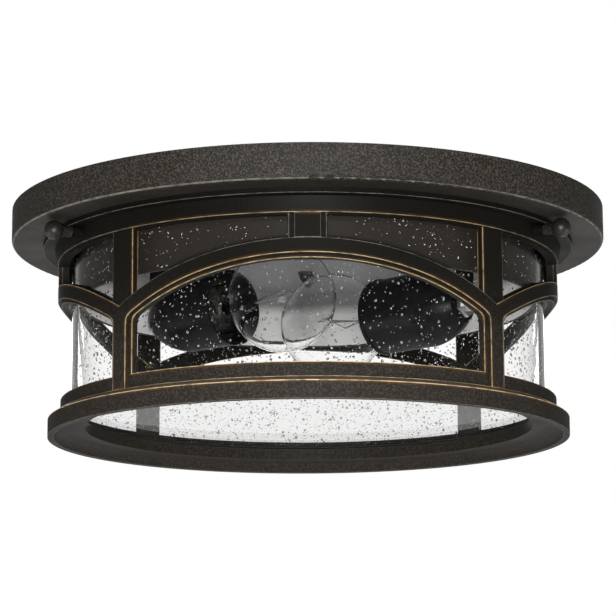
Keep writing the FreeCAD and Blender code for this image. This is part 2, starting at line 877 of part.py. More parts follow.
def make_thumbscrew(name, angle):
    ball = dim.screw_ball_radius
    centre = dim.screw_ball_centre
    shoulder_at = dim.boss_end + dim.screw_gap
    tip = dim.collar_radius + dim.screw_gap
    chamfer = dim.screw_shank_radius / 3
    # the ball meets the neck where a chord as wide as the neck crosses it
    neck = dim.screw_neck_radius
    dip = math.sqrt(ball.value ** 2 - neck.value ** 2)
    chord = Size(dip, "(sqrt(%s ^ 2 - %s ^ 2))" % (ball.text, neck.text))
    corners = [
        (0, tip),
        (dim.screw_shank_radius - chamfer, tip),
        (dim.screw_shank_radius, tip + chamfer),
        (dim.screw_shank_radius, shoulder_at),
        (neck, shoulder_at),
        (neck, centre - chord),
        (ball, centre),
        (0, centre + ball),
    ]
    way = radial(angle)
    turn = FreeCAD.Rotation(UP, way)
    placement = FreeCAD.Placement(Vector(0, 0, -dim.screw_depth.value), turn)
    return turned(name, corners, {5: (ball, -1), 6: (ball, -1)}, placement)


# Lamp holders and lamps: each is drawn along its own z axis from the mouth of its cup

def lamp_placement(turn):
    """The mouth of a lamp cup: z along the lamp and x upwards; the second lamp is half a turn round."""
    angle = math.radians(-dim.lamp_angle.value)
    way = Vector(math.cos(angle), math.sin(angle), 0)
    side = Vector(math.sin(angle), -math.cos(angle), 0)
    mouth = side * dim.lamp_offset.value - way * dim.mouth_setback.value
    mouth.z = -lamp_level(turn).value
    along = FreeCAD.Placement(mouth, FreeCAD.Rotation(UP, way.cross(UP), way, "ZXY"))
    return FreeCAD.Placement(Vector(0, 0, 0), FreeCAD.Rotation(UP, turn)).multiply(along)


def lamp_level(turn):
    """The depth of a lamp's axis: the first lamp is held a little higher than the other."""
    return dim.lamp_depth if turn else dim.lamp_depth - dim.left_lamp_rise


def rivet_places():
    """Where the rivets go through pan and dish: two in the foot of each lamp bracket."""
    places = []
    spread = Size(math.sin(math.radians(dim.lamp_angle.value)), "sin(dims.lamp_angle * 1 deg)")
    reach = Size(math.cos(math.radians(dim.lamp_angle.value)), "cos(dims.lamp_angle * 1 deg)")
    for side in (1, -1):
        for index in range(2):
            rear = dim.mouth_setback + dim.cup_length + dim.bracket_thickness
            along = rear - dim.rivet_first - dim.rivet_pitch * index
            x = (dim.lamp_offset * spread + along * reach) * -side
            y = (along * spread - dim.lamp_offset * reach) * side
            places.append((x, y))
    return places


def make_cup(name, placement):
    outer = dim.cup_radius
    inner = outer - dim.cup_wall
    lip = outer + dim.cup_lip
    rear = dim.cup_rear_radius
    straight = -dim.cup_straight
    end = -dim.cup_length
    inner_end = end + dim.cup_wall
    hole = dim.nipple_radius + dim.nipple_gap
    taper = dim.cup_length - dim.cup_straight
    corners = [
        (hole, end),
        (rear, end),
        (outer, straight),
        (outer, -dim.cup_lip_width),
        (lip, -dim.cup_lip_width),
        (lip, 0),
        (inner, 0),
        (inner, straight),
        (rear - dim.cup_wall, inner_end),
        (hole, inner_end),
    ]
    swell = taper * 2
    return turned(name, corners, {1: (swell, -1), 7: (swell, 1)}, placement)


def make_insulator(name, placement):
    front = -dim.insulator_setback
    back = front - dim.insulator_length
    bore = dim.shell_bore + dim.shell_wall
    floor = front - dim.shell_length - dim.insulator_gap
    flange = dim.cup_radius - dim.cup_wall - dim.insulator_gap
    chamfer = dim.insulator_flange_height
    corners = [
        (0, back),
        (dim.insulator_radius - chamfer, back),
        (dim.insulator_radius, back + chamfer),
        (dim.insulator_radius, front - chamfer),
        (flange, front - chamfer),
        (flange, front),
        (bore, front),
        (bore, floor),
        (0, floor),
    ]
    return turned(name, corners, placement=placement)


def make_shell(name, placement):
    """The screw shell: a thin plain sleeve that lines the insulator."""
    front = -dim.insulator_setback
    outer = dim.shell_bore + dim.shell_wall
    return ring(name, dim.shell_bore, outer, front - dim.shell_length, front, placement)


def make_contact(name, placement):
    """The brass tongue in the floor of the holder that the tip of the lamp meets."""
    floor = -dim.insulator_setback - dim.shell_length - dim.insulator_gap
    tip = dim.lamp_centre_reach + dim.lamp_radius - dim.lamp_length
    base = block(name + "_base", dim.contact_length * 2, dim.contact_width, dim.contact_thickness, z=floor)
    lift = tip - dim.contact_gap - floor
    sunk = dim.contact_thickness / 2
    post = cylinder(name + "_post", dim.contact_width / 3, lift - sunk, z=floor + sunk)
    contact = fused(name, [base, post])
    contact.Placement = placement
    return contact


def make_nipple_set(turns):
    """Threaded tubes that clamp each cup to its bracket, and the nuts on them."""
    tubes = []
    nuts = []
    rear = -dim.cup_length
    low = rear - dim.bracket_thickness - dim.nipple_outside
    high = rear + dim.cup_wall + dim.nipple_inside
    nut_high = rear - dim.bracket_thickness
    for index, turn in enumerate(turns):
        spot = lamp_placement(turn)
        rod = cylinder("nipple_rod_%d" % index, dim.nipple_radius, high - low, z=low)
        nipple = cut("nipple_%d" % index, rod, [drill("nipple_bore_%d" % index, dim.nipple_bore, low, high)])
        nipple.Placement = spot
        tubes.append(nipple)
        for end, z in enumerate((nut_high - dim.jam_nut_height, rear + dim.cup_wall)):
            label = "%d_%d" % (index, end)
            top = z + dim.jam_nut_height
            blank = hexagon("jam_hex_" + label, dim.jam_nut_radius, dim.jam_nut_height, z=z)
            hole = drill("jam_hole_" + label, dim.nipple_radius + dim.stud_gap, z, top)
            nut = cut("jam_nut_" + label, blank, [hole])
            nut.Placement = spot
            nuts.append(nut)
    return [group("socket_nipples", tubes), group("jam_nuts", nuts)]


def group(name, pieces):
    """Several like solids kept as one node."""
    thing = document.addObject("Part::Compound", name)
    thing.Links = pieces
    thing.Label = name
    return thing


def make_bracket(name, turn):
    """A strap bent down from the pan that holds a lamp cup by its rear."""
    thick = dim.bracket_thickness
    width = dim.bracket_width
    rear = -dim.cup_length - thick
    drop = lamp_level(turn) + dish_ceiling
    upright = block(name + "_upright", drop, width, thick, x=drop / 2, z=rear)
    foot = block(name + "_foot", thick, width, dim.bracket_foot, x=drop - thick / 2, z=rear)
    rounding = cylinder(name + "_rounding", width / 2, thick, z=rear)
    bar = fused(name + "_bar", [upright, foot, rounding])
    holes = [drill(name + "_hole", dim.nipple_radius + dim.nipple_gap, rear, rear + thick)]
    for index in range(2):
        z = rear + dim.rivet_first + dim.rivet_pitch * index
        radius = dim.rivet_radius + dim.rivet_gap
        bore = cylinder("%s_rivet_hole_%d" % (name, index), radius, thick + dim.overrun * 2)
        bore.Placement = FreeCAD.Placement(Vector(0, 0, 0), FreeCAD.Rotation(Vector(0, 1, 0), QUARTER_TURN))
        place(bore, drop - thick - dim.overrun, 0, z)
        holes.append(bore)
    bracket = cut(name, bar, holes)
    bracket.Placement = lamp_placement(turn)
    return bracket


def make_rivets():
    parts = []
    foot_under = dish_ceiling - dim.bracket_thickness
    shank = plate_top - foot_under
    low = foot_under - dim.rivet_head_height
    tail = dim.rivet_head_height / 2
    for index, (x, y) in enumerate(rivet_places()):
        parts.append(cylinder("rivet_shank_%d" % index, dim.rivet_radius, shank, x, y, foot_under))
        head = document.addObject("Part::Cone", "rivet_head_%d" % index)
        bind(head, "Radius1", dim.rivet_radius)
        bind(head, "Radius2", dim.rivet_head_radius)
        bind(head, "Height", dim.rivet_head_height)
        place(head, x, y, low)
        parts.append(head)
        parts.append(cylinder("rivet_tail_%d" % index, dim.rivet_head_radius, tail, x, y, plate_top))
    return fused("bracket_rivets", parts)


# Lamps

def lamp_top():
    return dim.lamp_centre_reach + dim.lamp_radius


def lamp_tip():
    return lamp_top() - dim.lamp_length


def cap_low():
    return lamp_tip() + dim.tip_height + dim.vitrite_height


def make_lamp_glass(name, placement):
    """A round envelope that narrows through one long hollow curve into its neck."""
    ball = dim.lamp_radius
    wall = dim.lamp_glass_wall
    inner = ball - wall
    neck = dim.lamp_neck_radius
    centre = dim.lamp_centre_reach
    end = -dim.lamp_neck_end
    bend = end + dim.lamp_neck_taper
    neck_z = bend + dim.lamp_neck_straight
    # the hollow curve touches the ball and runs straight into the neck
    reach = centre - neck_z
    hollow = (reach * reach + neck * neck - ball * ball) / ((ball - neck) * 2)
    sine = (neck + hollow) / (ball + hollow)
    cosine = -reach / (ball + hollow)
    plug = dim.cap_radius - dim.cap_rib_depth - dim.cap_wall
    corners = [
        (0, centre + inner),
        (inner, centre),
        (inner * sine, centre + inner * cosine),
        (neck - wall, neck_z),
        (neck - wall, bend),
        (plug - wall, end),
        (plug - wall, end - dim.lamp_plug_length),
        (plug, end - dim.lamp_plug_length),
        (plug, end),
        (neck, bend),
        (neck, neck_z),
        (ball * sine, centre + ball * cosine),
        (ball, centre),
        (0, centre + ball),
    ]
    arcs = {
        0: (inner, 1),
        1: (inner, 1),
        2: (hollow + wall, -1),
        10: (hollow, 1),
        11: (ball, -1),
        12: (ball, -1),
    }
    return turned(name, corners, arcs, placement)


def make_cap(name, placement):
    """The lamp's screw cap: a sleeve whose thread is a row of ring ribs."""
    low = cap_low()
    high = low + dim.cap_length
    outer = dim.cap_radius
    root = outer - dim.cap_rib_depth
    inner = root - dim.cap_wall
    rib = dim.cap_rib_pitch
    end_round = dim.cap_end_round / 2
    corners = [(dim.vitrite_radius, low), (root - end_round, low), (root, low + end_round)]
    for index in range(4):
        start = low + end_round + rib * index
        corners += [(outer, start + rib / 2), (root, start + rib)]
    corners += [
        (root, high),
        (inner, high),
        (inner, low + dim.cap_end_round),
        (inner - end_round, low + dim.cap_wall),
        (dim.vitrite_radius, low + dim.cap_wall),
    ]
    return turned(name, corners, placement=placement)


def make_vitrite(name, placement):
    """The dark glass button between the cap and the tip."""
    low = lamp_tip() + dim.tip_height
    corners = [
        (0, low),
        (dim.tip_radius, low),
        (dim.vitrite_radius, low + dim.vitrite_height),
        (dim.vitrite_radius, low + dim.vitrite_height + dim.cap_wall),
        (0, low + dim.vitrite_height + dim.cap_wall),
    ]
    return turned(name, corners, placement=placement)


def make_tip(name, placement):
    low = lamp_tip()
    high = low + dim.tip_height
    corners = [(0, low), (dim.tip_radius / 2, low), (dim.tip_radius, high), (0, high)]
    return turned(name, corners, placement=placement)


def make_stem(name, placement):
    """The glass mount inside the neck: a flare that closes to a rod."""
    base = dim.lamp_neck_taper - dim.lamp_neck_end
    top = dim.lamp_centre_reach - dim.stem_top_setback
    flare = dim.lamp_neck_radius - dim.lamp_glass_wall
    corners = [
        (0, base + dim.stem_radius),
        (flare - dim.stem_radius / 2, base),
        (flare, base),
        (dim.stem_radius, base + dim.stem_flare_height),
        (dim.stem_radius, top - dim.stem_radius),
        (dim.stem_radius / 2, top),
        (0, top),
    ]
    return turned(name, corners, placement=placement)


def rod(start, end, radius):
    way = end - start
    return Part.makeCylinder(radius, way.Length, start, way)


def make_filament(name, placement):
    """Two lead wires, two props and a hairpin filament, joined as one wire figure."""
    thin = dim.wire_radius.value
    fine = dim.filament_radius.value
    spread = dim.filament_spread.value
    rise = dim.filament_rise.value
    base = dim.lamp_centre_reach.value - dim.stem_top_setback.value
    top = dim.lamp_centre_reach.value
    inside = dim.stem_radius.value / 2 - thin
    foot = base + thin
    left = Vector(0, -inside, foot)
    right = Vector(0, inside, foot)
    left_top = Vector(0, -spread, top)
    right_top = Vector(0, spread, top)
    crown_half = dim.filament_crown.value
    crown = [Vector(rise, side * crown_half, top + rise) for side in (-1, 1)]
    wires = [rod(left, left_top, thin), rod(right, right_top, thin)]
    wires += [rod(Vector(0, 0, foot), spot, thin) for spot in crown]
    route = [left_top] + crown + [right_top]
    for start, end in zip(route, route[1:]):
        wires.append(rod(start, end, fine))
    for spot in route:
        wires.append(Part.makeSphere(dim.wire_joint_radius.value, spot))
    filament = document.addObject("Part::Feature", name)
    filament.Label = name
    filament.Shape = wires[0].fuse(wires[1:])
    filament.Placement = placement
    return filament


def make_lamps():
    names = []
    for side, turn in (("left", 0), ("right", FULL_TURN / 2)):
        spot = lamp_placement(turn)
        for make, label in (
            (make_cup, "socket_cup_"),
            (make_insulator, "socket_insulator_"),
            (make_shell, "screw_shell_"),
            (make_contact, "centre_contact_"),
            (make_lamp_glass, "bulb_glass_"),
            (make_cap, "bulb_cap_"),
            (make_vitrite, "bulb_vitrite_"),
            (make_tip, "bulb_tip_"),
            (make_stem, "bulb_stem_"),
            (make_filament, "bulb_filament_"),
        ):
            make(label + side, spot)
            names.append(label + side)
        make_bracket("socket_bracket_" + side, turn)
        names.append("socket_bracket_" + side)
    make_nipple_set((0, FULL_TURN / 2))
    make_rivets()
    return names + ["socket_nipples", "jam_nuts", "bracket_rivets"]


def make_all():
    make_pan()
    make_ceiling_gasket()
    make_collar()
    make_top_gasket()
    make_dish()
    make_strap()
    make_studs()
    make_washers()
    make_cap_nuts()
    make_ground_screw()
    make_bushing()
    make_cage()
    names = [
        "canopy_pan",
        "ceiling_gasket",
        "cage_collar",
        "drum_top_gasket",
        "reflector_dish",
        "mounting_strap",
        "mounting_studs",
        "sealing_washers",
        "cap_nuts",
        "ground_screw",
        "lead_bushing",
        "cage_casting",
    ]
    names += make_glass()
    for name, angle in zip(("thumbscrew_right", "thumbscrew_left", "thumbscrew_rear"), screw_angles()):
        make_thumbscrew(name, angle)
        names.append(name)
    return names + make_lamps()


def check_and_write(names):
    """Every object must be sound before any file is written."""
    for item in document.Objects:
        faults = [state for state in item.State if state in ("Invalid", "Error")]
        if faults:
            raise RuntimeError("%s is %s" % (item.Label, faults))
    nodes = {item.Label: item for item in document.Objects if item.Label in names}
    for name in names:
        shape = nodes[name].Shape
        if shape.isNull() or not shape.isValid():
            raise RuntimeError("%s has no sound shape" % name)
    os.makedirs("parts", exist_ok=True)
    for name in names:
        shape = nodes[name].Shape
        shape.exportStep("parts/%s.step" % name)
        box = shape.BoundBox
        facts = (name, len(shape.Solids), shape.Volume, box.ZMin, box.ZMax)
        print("%-24s solids %d volume %10.1f z %8.2f %8.2f" % facts)


node_names = make_all()
document.recompute()
check_and_write(node_names)
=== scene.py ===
import math
import random

import bpy
from mathutils import Matrix, Vector


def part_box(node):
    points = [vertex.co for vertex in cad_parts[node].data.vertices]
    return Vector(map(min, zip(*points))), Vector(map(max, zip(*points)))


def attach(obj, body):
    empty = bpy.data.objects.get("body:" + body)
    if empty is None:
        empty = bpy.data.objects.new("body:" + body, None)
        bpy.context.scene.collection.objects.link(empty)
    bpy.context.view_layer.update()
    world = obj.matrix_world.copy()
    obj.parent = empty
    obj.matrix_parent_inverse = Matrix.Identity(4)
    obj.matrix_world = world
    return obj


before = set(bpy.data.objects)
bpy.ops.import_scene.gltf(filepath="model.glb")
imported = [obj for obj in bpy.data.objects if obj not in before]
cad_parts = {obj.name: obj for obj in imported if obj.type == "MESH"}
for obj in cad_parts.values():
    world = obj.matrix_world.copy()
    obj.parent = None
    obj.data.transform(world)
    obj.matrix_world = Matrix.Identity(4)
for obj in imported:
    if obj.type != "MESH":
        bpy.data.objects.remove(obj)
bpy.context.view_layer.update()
print("frame loaded:", len(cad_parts), "nodes")


# shader helpers

def emptyTree(holder):  # the node tree of a material or a world, cleared
    holder.use_nodes = True
    for node in list(holder.node_tree.nodes):
        holder.node_tree.nodes.remove(node)
    return holder.node_tree


def newMaterial(name):
    material = bpy.data.materials.new(name)
    tree = emptyTree(material)
    surface = tree.nodes.new("ShaderNodeOutputMaterial").inputs["Surface"]
    shader = tree.nodes.new("ShaderNodeBsdfPrincipled")
    return material, tree, shader, surface


def feed(tree, socket, value):  # a link from an output, or a plain value
    if isinstance(value, bpy.types.NodeSocket):
        tree.links.new(value, socket)
    else:
        socket.default_value = value


def mathOf(tree, operation, *values):
    node = tree.nodes.new("ShaderNodeMath")
    node.operation = operation
    for socket, value in zip(node.inputs, values):
        feed(tree, socket, value)
    return node.outputs["Value"]


def vectorMathOf(tree, operation, *values):
    node = tree.nodes.new("ShaderNodeVectorMath")
    node.operation = operation
    for socket, value in zip(node.inputs, values):
        feed(tree, socket, value)
    return node.outputs


mixSockets = {"RGBA": (6, 7, 2), "FLOAT": (2, 3, 0)}  # which sockets are A, B and the result


def blendOf(tree, kind, factor, a, b):
    node = tree.nodes.new("ShaderNodeMix")
    node.data_type = kind
    socketA, socketB, result = mixSockets[kind]
    feed(tree, node.inputs["Factor"], factor)
    feed(tree, node.inputs[socketA], a)
    feed(tree, node.inputs[socketB], b)
    return node.outputs[result]


def blendColour(tree, factor, a, b):
    return blendOf(tree, "RGBA", factor, a, b)


def blendValue(tree, factor, a, b):
    return blendOf(tree, "FLOAT", factor, a, b)


def rampBetween(tree, value, low, high, outLow=0.0, outHigh=1.0):
    node = tree.nodes.new("ShaderNodeMapRange")
    node.interpolation_type = "SMOOTHSTEP"
    feed(tree, node.inputs["Value"], value)
    feed(tree, node.inputs["From Min"], low)
    feed(tree, node.inputs["From Max"], high)
    feed(tree, node.inputs["To Min"], outLow)
    feed(tree, node.inputs["To Max"], outHigh)
    return node.outputs["Result"]


def noiseOf(tree, place, scale, detail, roughness):
    node = tree.nodes.new("ShaderNodeTexNoise")
    feed(tree, node.inputs["Vector"], place)
    feed(tree, node.inputs["Scale"], scale)
    node.inputs["Detail"].default_value = detail
    node.inputs["Roughness"].default_value = roughness
    return node.outputs["Fac"]


def objectPlace(tree):
    return tree.nodes.new("ShaderNodeTexCoord").outputs["Object"]


def splitOf(tree, vector):  # outputs X, Y and Z
    node = tree.nodes.new("ShaderNodeSeparateXYZ")
    feed(tree, node.inputs["Vector"], vector)
    return node.outputs


def lengthOf(tree, a, b):
    squares = mathOf(tree, "ADD", mathOf(tree, "MULTIPLY", a, a), mathOf(tree, "MULTIPLY", b, b))
    return mathOf(tree, "SQRT", squares)


def bumped(tree, shader, height, strength, distance):
    node = tree.nodes.new("ShaderNodeBump")
    node.inputs["Strength"].default_value = strength
    node.inputs["Distance"].default_value = distance
    feed(tree, node.inputs["Height"], height)
    tree.links.new(node.outputs["Normal"], shader.inputs["Normal"])


def newGroup(name, inputs, outputs):
    tree = bpy.data.node_groups.new(name, "ShaderNodeTree")
    for label, value in inputs.items():
        socket = tree.interface.new_socket(name=label, in_out="INPUT", socket_type="NodeSocketFloat")
        socket.default_value = value
    for label in outputs:
        tree.interface.new_socket(name=label, in_out="OUTPUT", socket_type="NodeSocketFloat")
    entry = tree.nodes.new("NodeGroupInput")
    leave = tree.nodes.new("NodeGroupOutput")
    return tree, entry.outputs, leave.inputs


def useGroup(tree, group, **values):
    node = tree.nodes.new("ShaderNodeGroup")
    node.node_tree = group
    for label, value in values.items():
        feed(tree, node.inputs[label], value)
    return node.outputs


# shared effects

grainEffect = {
    "inputs": {"Scale": 900.0, "Mottle": 30.0},
    "fleckNoise": {"detail": 3.0, "roughness": 0.65},
    "fleckRange": (0.46, 0.62),
    "mottleNoise": {"detail": 2.0, "roughness": 0.5},
    "mottleRange": (0.30, 0.70),
}


def makePowderGrain():  # pebbled powder coat: a fleck mask, a slow mottle and a height
    outputs = ["Fleck", "Mottling", "Height"]
    tree, given, result = newGroup("powderGrain", grainEffect["inputs"], outputs)
    place = objectPlace(tree)
    fine = noiseOf(tree, place, given["Scale"], **grainEffect["fleckNoise"])
    slow = noiseOf(tree, place, given["Mottle"], **grainEffect["mottleNoise"])
    tree.links.new(rampBetween(tree, fine, *grainEffect["fleckRange"]), result["Fleck"])
    tree.links.new(rampBetween(tree, slow, *grainEffect["mottleRange"]), result["Mottling"])
    tree.links.new(fine, result["Height"])
    return tree


edgeEffect = {
    "inputs": {"Across": 0.0, "Out": 0.0, "Width": 0.0005, "Amount": 1.0},
    "fade": (1.0, 0.55),  # shares of the width: nothing beyond the first, full within the second
}


def makeRubAndHighlightEdge():  # bright where both distances to an edge are within the width
    tree, given, result = newGroup("rubAndHighlightEdge", edgeEffect["inputs"], ["Mask"])
    across = mathOf(tree, "ABSOLUTE", given["Across"])
    out = mathOf(tree, "ABSOLUTE", given["Out"])
    share = mathOf(tree, "DIVIDE", mathOf(tree, "MAXIMUM", across, out), given["Width"])
    mask = rampBetween(tree, share, *edgeEffect["fade"])
    tree.links.new(mathOf(tree, "MULTIPLY", mask, given["Amount"]), result["Mask"])
    return tree


powderGrain = makePowderGrain()
rubAndHighlightEdge = makeRubAndHighlightEdge()


# bronze powder coat

bronzeCoat = {
    "pale": (0.050, 0.041, 0.034, 1),
    "deep": (0.0080, 0.0076, 0.0054, 1),
    "gold": (0.78, 0.63, 0.36, 1),
    # silver: a painted highlight along the lit edges
    "silver": (0.36, 0.34, 0.30, 1),
    "copper": (0.085, 0.038, 0.012, 1),
    "grain": 1000.0,
    "mottle": 22.0,
    "evenFleck": 0.38,
    "fleckInPaintedShade": 0.08,  # the share of the flecks left past the painted shade heights
    # painted shade colour and heights for the ring above the cage wall
    "lipShadeColour": (0.0034, 0.0033, 0.0022, 1),
    "lipShadeHeight": (-0.0305, -0.0290),
    "mottleRoughness": 0.12,
    "edgeMarkRoughness": 0.36,
    "edgeMarkMetal": 0.45,
    "bump": 0.5,
    "bumpHeight": 0.0003,
}

bronzeUses = {  # painted shade under the pan: from the first shade height to the second, the pale flecks fade
    "bronzePan": {"stipple": 1.0, "contrast": 0.9, "roughness": 0.46, "specular": 0.20,
                  "paintedShadeHeights": (-0.0185, -0.0200), "paintedLipShade": False},
    "bronzeCage": {"stipple": 1.1, "contrast": 0.55, "roughness": 0.46, "specular": 0.08,
                   "paintedShadeHeights": (-0.098, -0.048), "paintedLipShade": True},
    "bronzeKnob": {"stipple": 0.5, "contrast": 0.6, "roughness": 0.30, "specular": 0.35,
                   "paintedShadeHeights": None, "paintedLipShade": False},
}


def makeBronze(name, edges=None):
    material, tree, shader, surface = newMaterial(name)
    use = bronzeUses[name]
    height = splitOf(tree, objectPlace(tree))["Z"]
    grain = useGroup(tree, powderGrain, Scale=bronzeCoat["grain"], Mottle=bronzeCoat["mottle"])
    fleck = blendValue(tree, use["contrast"], bronzeCoat["evenFleck"], grain["Fleck"])
    fleck = mathOf(tree, "MULTIPLY", fleck, use["stipple"])
    # painted shade: fewer pale flecks where the pan rim above shades the surface
    if use["paintedShadeHeights"]:
        left = rampBetween(tree, height, *use["paintedShadeHeights"], 1.0, bronzeCoat["fleckInPaintedShade"])
        fleck = mathOf(tree, "MULTIPLY", fleck, left)
    deep = bronzeCoat["deep"]
    if use["paintedLipShade"]:  # painted shade: little light reaches the ring above the cage wall
        lip = rampBetween(tree, height, *bronzeCoat["lipShadeHeight"])
        deep = blendColour(tree, lip, deep, bronzeCoat["lipShadeColour"])
    colour = blendColour(tree, fleck, deep, bronzeCoat["pale"])
    rougher = use["roughness"] + bronzeCoat["mottleRoughness"]
    roughness = blendValue(tree, grain["Mottling"], use["roughness"], rougher)
    if edges:  # rubbed gold and copper along the edges, and silver painted highlights on them
        gold, silver, glow = edges(tree)
        colour = blendColour(tree, glow, colour, bronzeCoat["copper"])
        colour = blendColour(tree, silver, colour, bronzeCoat["silver"])
        colour = blendColour(tree, gold, colour, bronzeCoat["gold"])
        edgeMarks = mathOf(tree, "MAXIMUM", gold, silver)
        roughness = blendValue(tree, edgeMarks, roughness, bronzeCoat["edgeMarkRoughness"])
        feed(tree, shader.inputs["Metallic"], mathOf(tree, "MULTIPLY", edgeMarks, bronzeCoat["edgeMarkMetal"]))
    feed(tree, shader.inputs["Base Color"], colour)
    feed(tree, shader.inputs["Roughness"], roughness)
    shader.inputs["Specular IOR Level"].default_value = use["specular"]
    bumped(tree, shader, grain["Height"], bronzeCoat["bump"], bronzeCoat["bumpHeight"])
    tree.links.new(shader.outputs["BSDF"], surface)
    return material


# rubbed gold lines and silver painted highlights along the edges of the bronze pieces

lineLook = {
    "lineWidth": 0.00040,
    "glowWidth": 0.0015,
    "linePatches": {"noise": (160.0, 3.0, 0.6), "between": (0.34, 0.60), "shares": (0.30, 1.0)},
    "glowPatches": {"noise": (90.0, 2.0, 0.5), "between": (0.35, 0.65), "shares": (0.25, 0.85)},
}

lineColours = [  # the shares, width and patches of the gold, silver painted highlight and copper glow masks
    ("gold", "lineWidth", "linePatches"),
    ("silver", "lineWidth", "linePatches"),
    ("gold", "glowWidth", "glowPatches"),
]


def ringLine(tree, radius, z, ring):  # distances from an edge that runs round the whole light
    across = mathOf(tree, "SUBTRACT", z, ring["height"])
    out = mathOf(tree, "SUBTRACT", radius, ring["radius"])
    return across, out


def lineMasks(tree, place, lines):  # each mask is the strongest of its lines, in patches
    masks = []
    for share, width, patches in lineColours:
        strongest = None
        for line in lines:
            if share not in line:
                continue
            mask = useGroup(tree, rubAndHighlightEdge, Across=line["across"], Out=line["out"],
                            Width=lineLook[width], Amount=line[share])["Mask"]
            strongest = mask if strongest is None else mathOf(tree, "MAXIMUM", strongest, mask)
        patchy = lineLook[patches]
        noise = noiseOf(tree, place, *patchy["noise"])
        patch = rampBetween(tree, noise, *patchy["between"], *patchy["shares"])
        masks.append(mathOf(tree, "MULTIPLY", strongest, patch))
    return masks


# the pan's lower rim edge: a silver painted highlight with a trace of rubbed gold
panRim = {
    "radius": 0.16436,
    "height": -0.01826,
    "outEase": 0.55,  # below 1 widens the line, because the edge is a polygon and not a true circle
    "acrossEase": 0.85,
    "gold": 0.04,
    "silver": 0.38,
}


def panEdges(tree):
    place = objectPlace(tree)
    x, y, z = splitOf(tree, place)
    across, out = ringLine(tree, lengthOf(tree, x, y), z, panRim)
    out = mathOf(tree, "MULTIPLY", out, panRim["outEase"])
    across = mathOf(tree, "MULTIPLY", across, panRim["acrossEase"])
    line = {"across": across, "out": out, "gold": panRim["gold"], "silver": panRim["silver"]}
    return lineMasks(tree, place, [line])


arcade = {  # the arches as they lie on the unrolled wall, in metres
    "halfBay": math.pi / 4,
    "centreDepth": 0.2755,
    "wallRadius": 0.137,
    "raisedRadius": 0.139,
    "boreRadius": 0.133,
    "windowArch": 0.2226,
    "bandLower": 0.2250,
    "bandUpper": 0.2327,
    "boreLift": 0.0004,
    "windowCorner": 0.0036,
    "bandCorner": 0.0050,
    "windowLow": -0.10645,
    "railTop": -0.1143,
    "railEdge": 0.0006,
    "postHalf": 0.0077,
    "bandPostHalf": 0.0048,
    "keyHalf": 0.00975,
    "raisedKeyHalf": 0.00675,
}

cageRings = {
    "lip": {"radius": 0.1393, "height": -0.0298},
    "railTop": {"radius": 0.1397, "height": -0.1143},
    "railStep": {"radius": 0.1439, "height": -0.1170},
    "ringRim": {"radius": 0.1475, "height": -0.0216},
    "footOuter": {"radius": 0.1439, "height": -0.1264},
    "footInner": {"radius": 0.1404, "height": -0.1264},
}

lineShares = {  # how strong each line is in the side bays, and in the front and back bays; the bays are alike, so the difference is painted light, and the silver shares are painted highlights
    "window": {"gold": (0.20, 0.80), "silver": (0.30, 0.0)},
    "band": {"gold": (0.25, 0.80), "silver": (0.45, 0.0)},
    "bandTop": {"gold": (0.75, 0.0), "silver": (0.0, 0.45)},
    "bandBore": {"gold": (0.55, 0.0)},
    "post": {"gold": (0.0, 0.85), "silver": (0.30, 0.0)},
    "postBore": {"gold": (0.0, 0.60)},
    "key": {"gold": (0.10, 0.10), "silver": (0.25, 0.25)},
    "raisedKey": {"silver": (0.25, 0.25)},
    "lip": {"gold": (0.08, 0.42), "silver": (0.42, 0.0)},
    "railTop": {"gold": (0.85, 0.85)},
    "railStep": {"gold": (0.75, 0.75)},
    "ringRim": {"silver": (0.40, 0.40)},
    "footOuter": {"silver": (0.25, 0.25)},
    "footInner": {"silver": (0.15, 0.15)},
}


def archDistance(tree, across, z, radius):  # above 0 outside an arch of this radius
    lift = mathOf(tree, "ADD", z, arcade["centreDepth"])
    return mathOf(tree, "SUBTRACT", lengthOf(tree, across, lift), radius)


def shareOf(tree, front, where, atSide, atFront):  # a line's strength over the bays
    share = atSide if atSide == atFront else blendValue(tree, front, atSide, atFront)
    return share if where is None else mathOf(tree, "MULTIPLY", where, share)


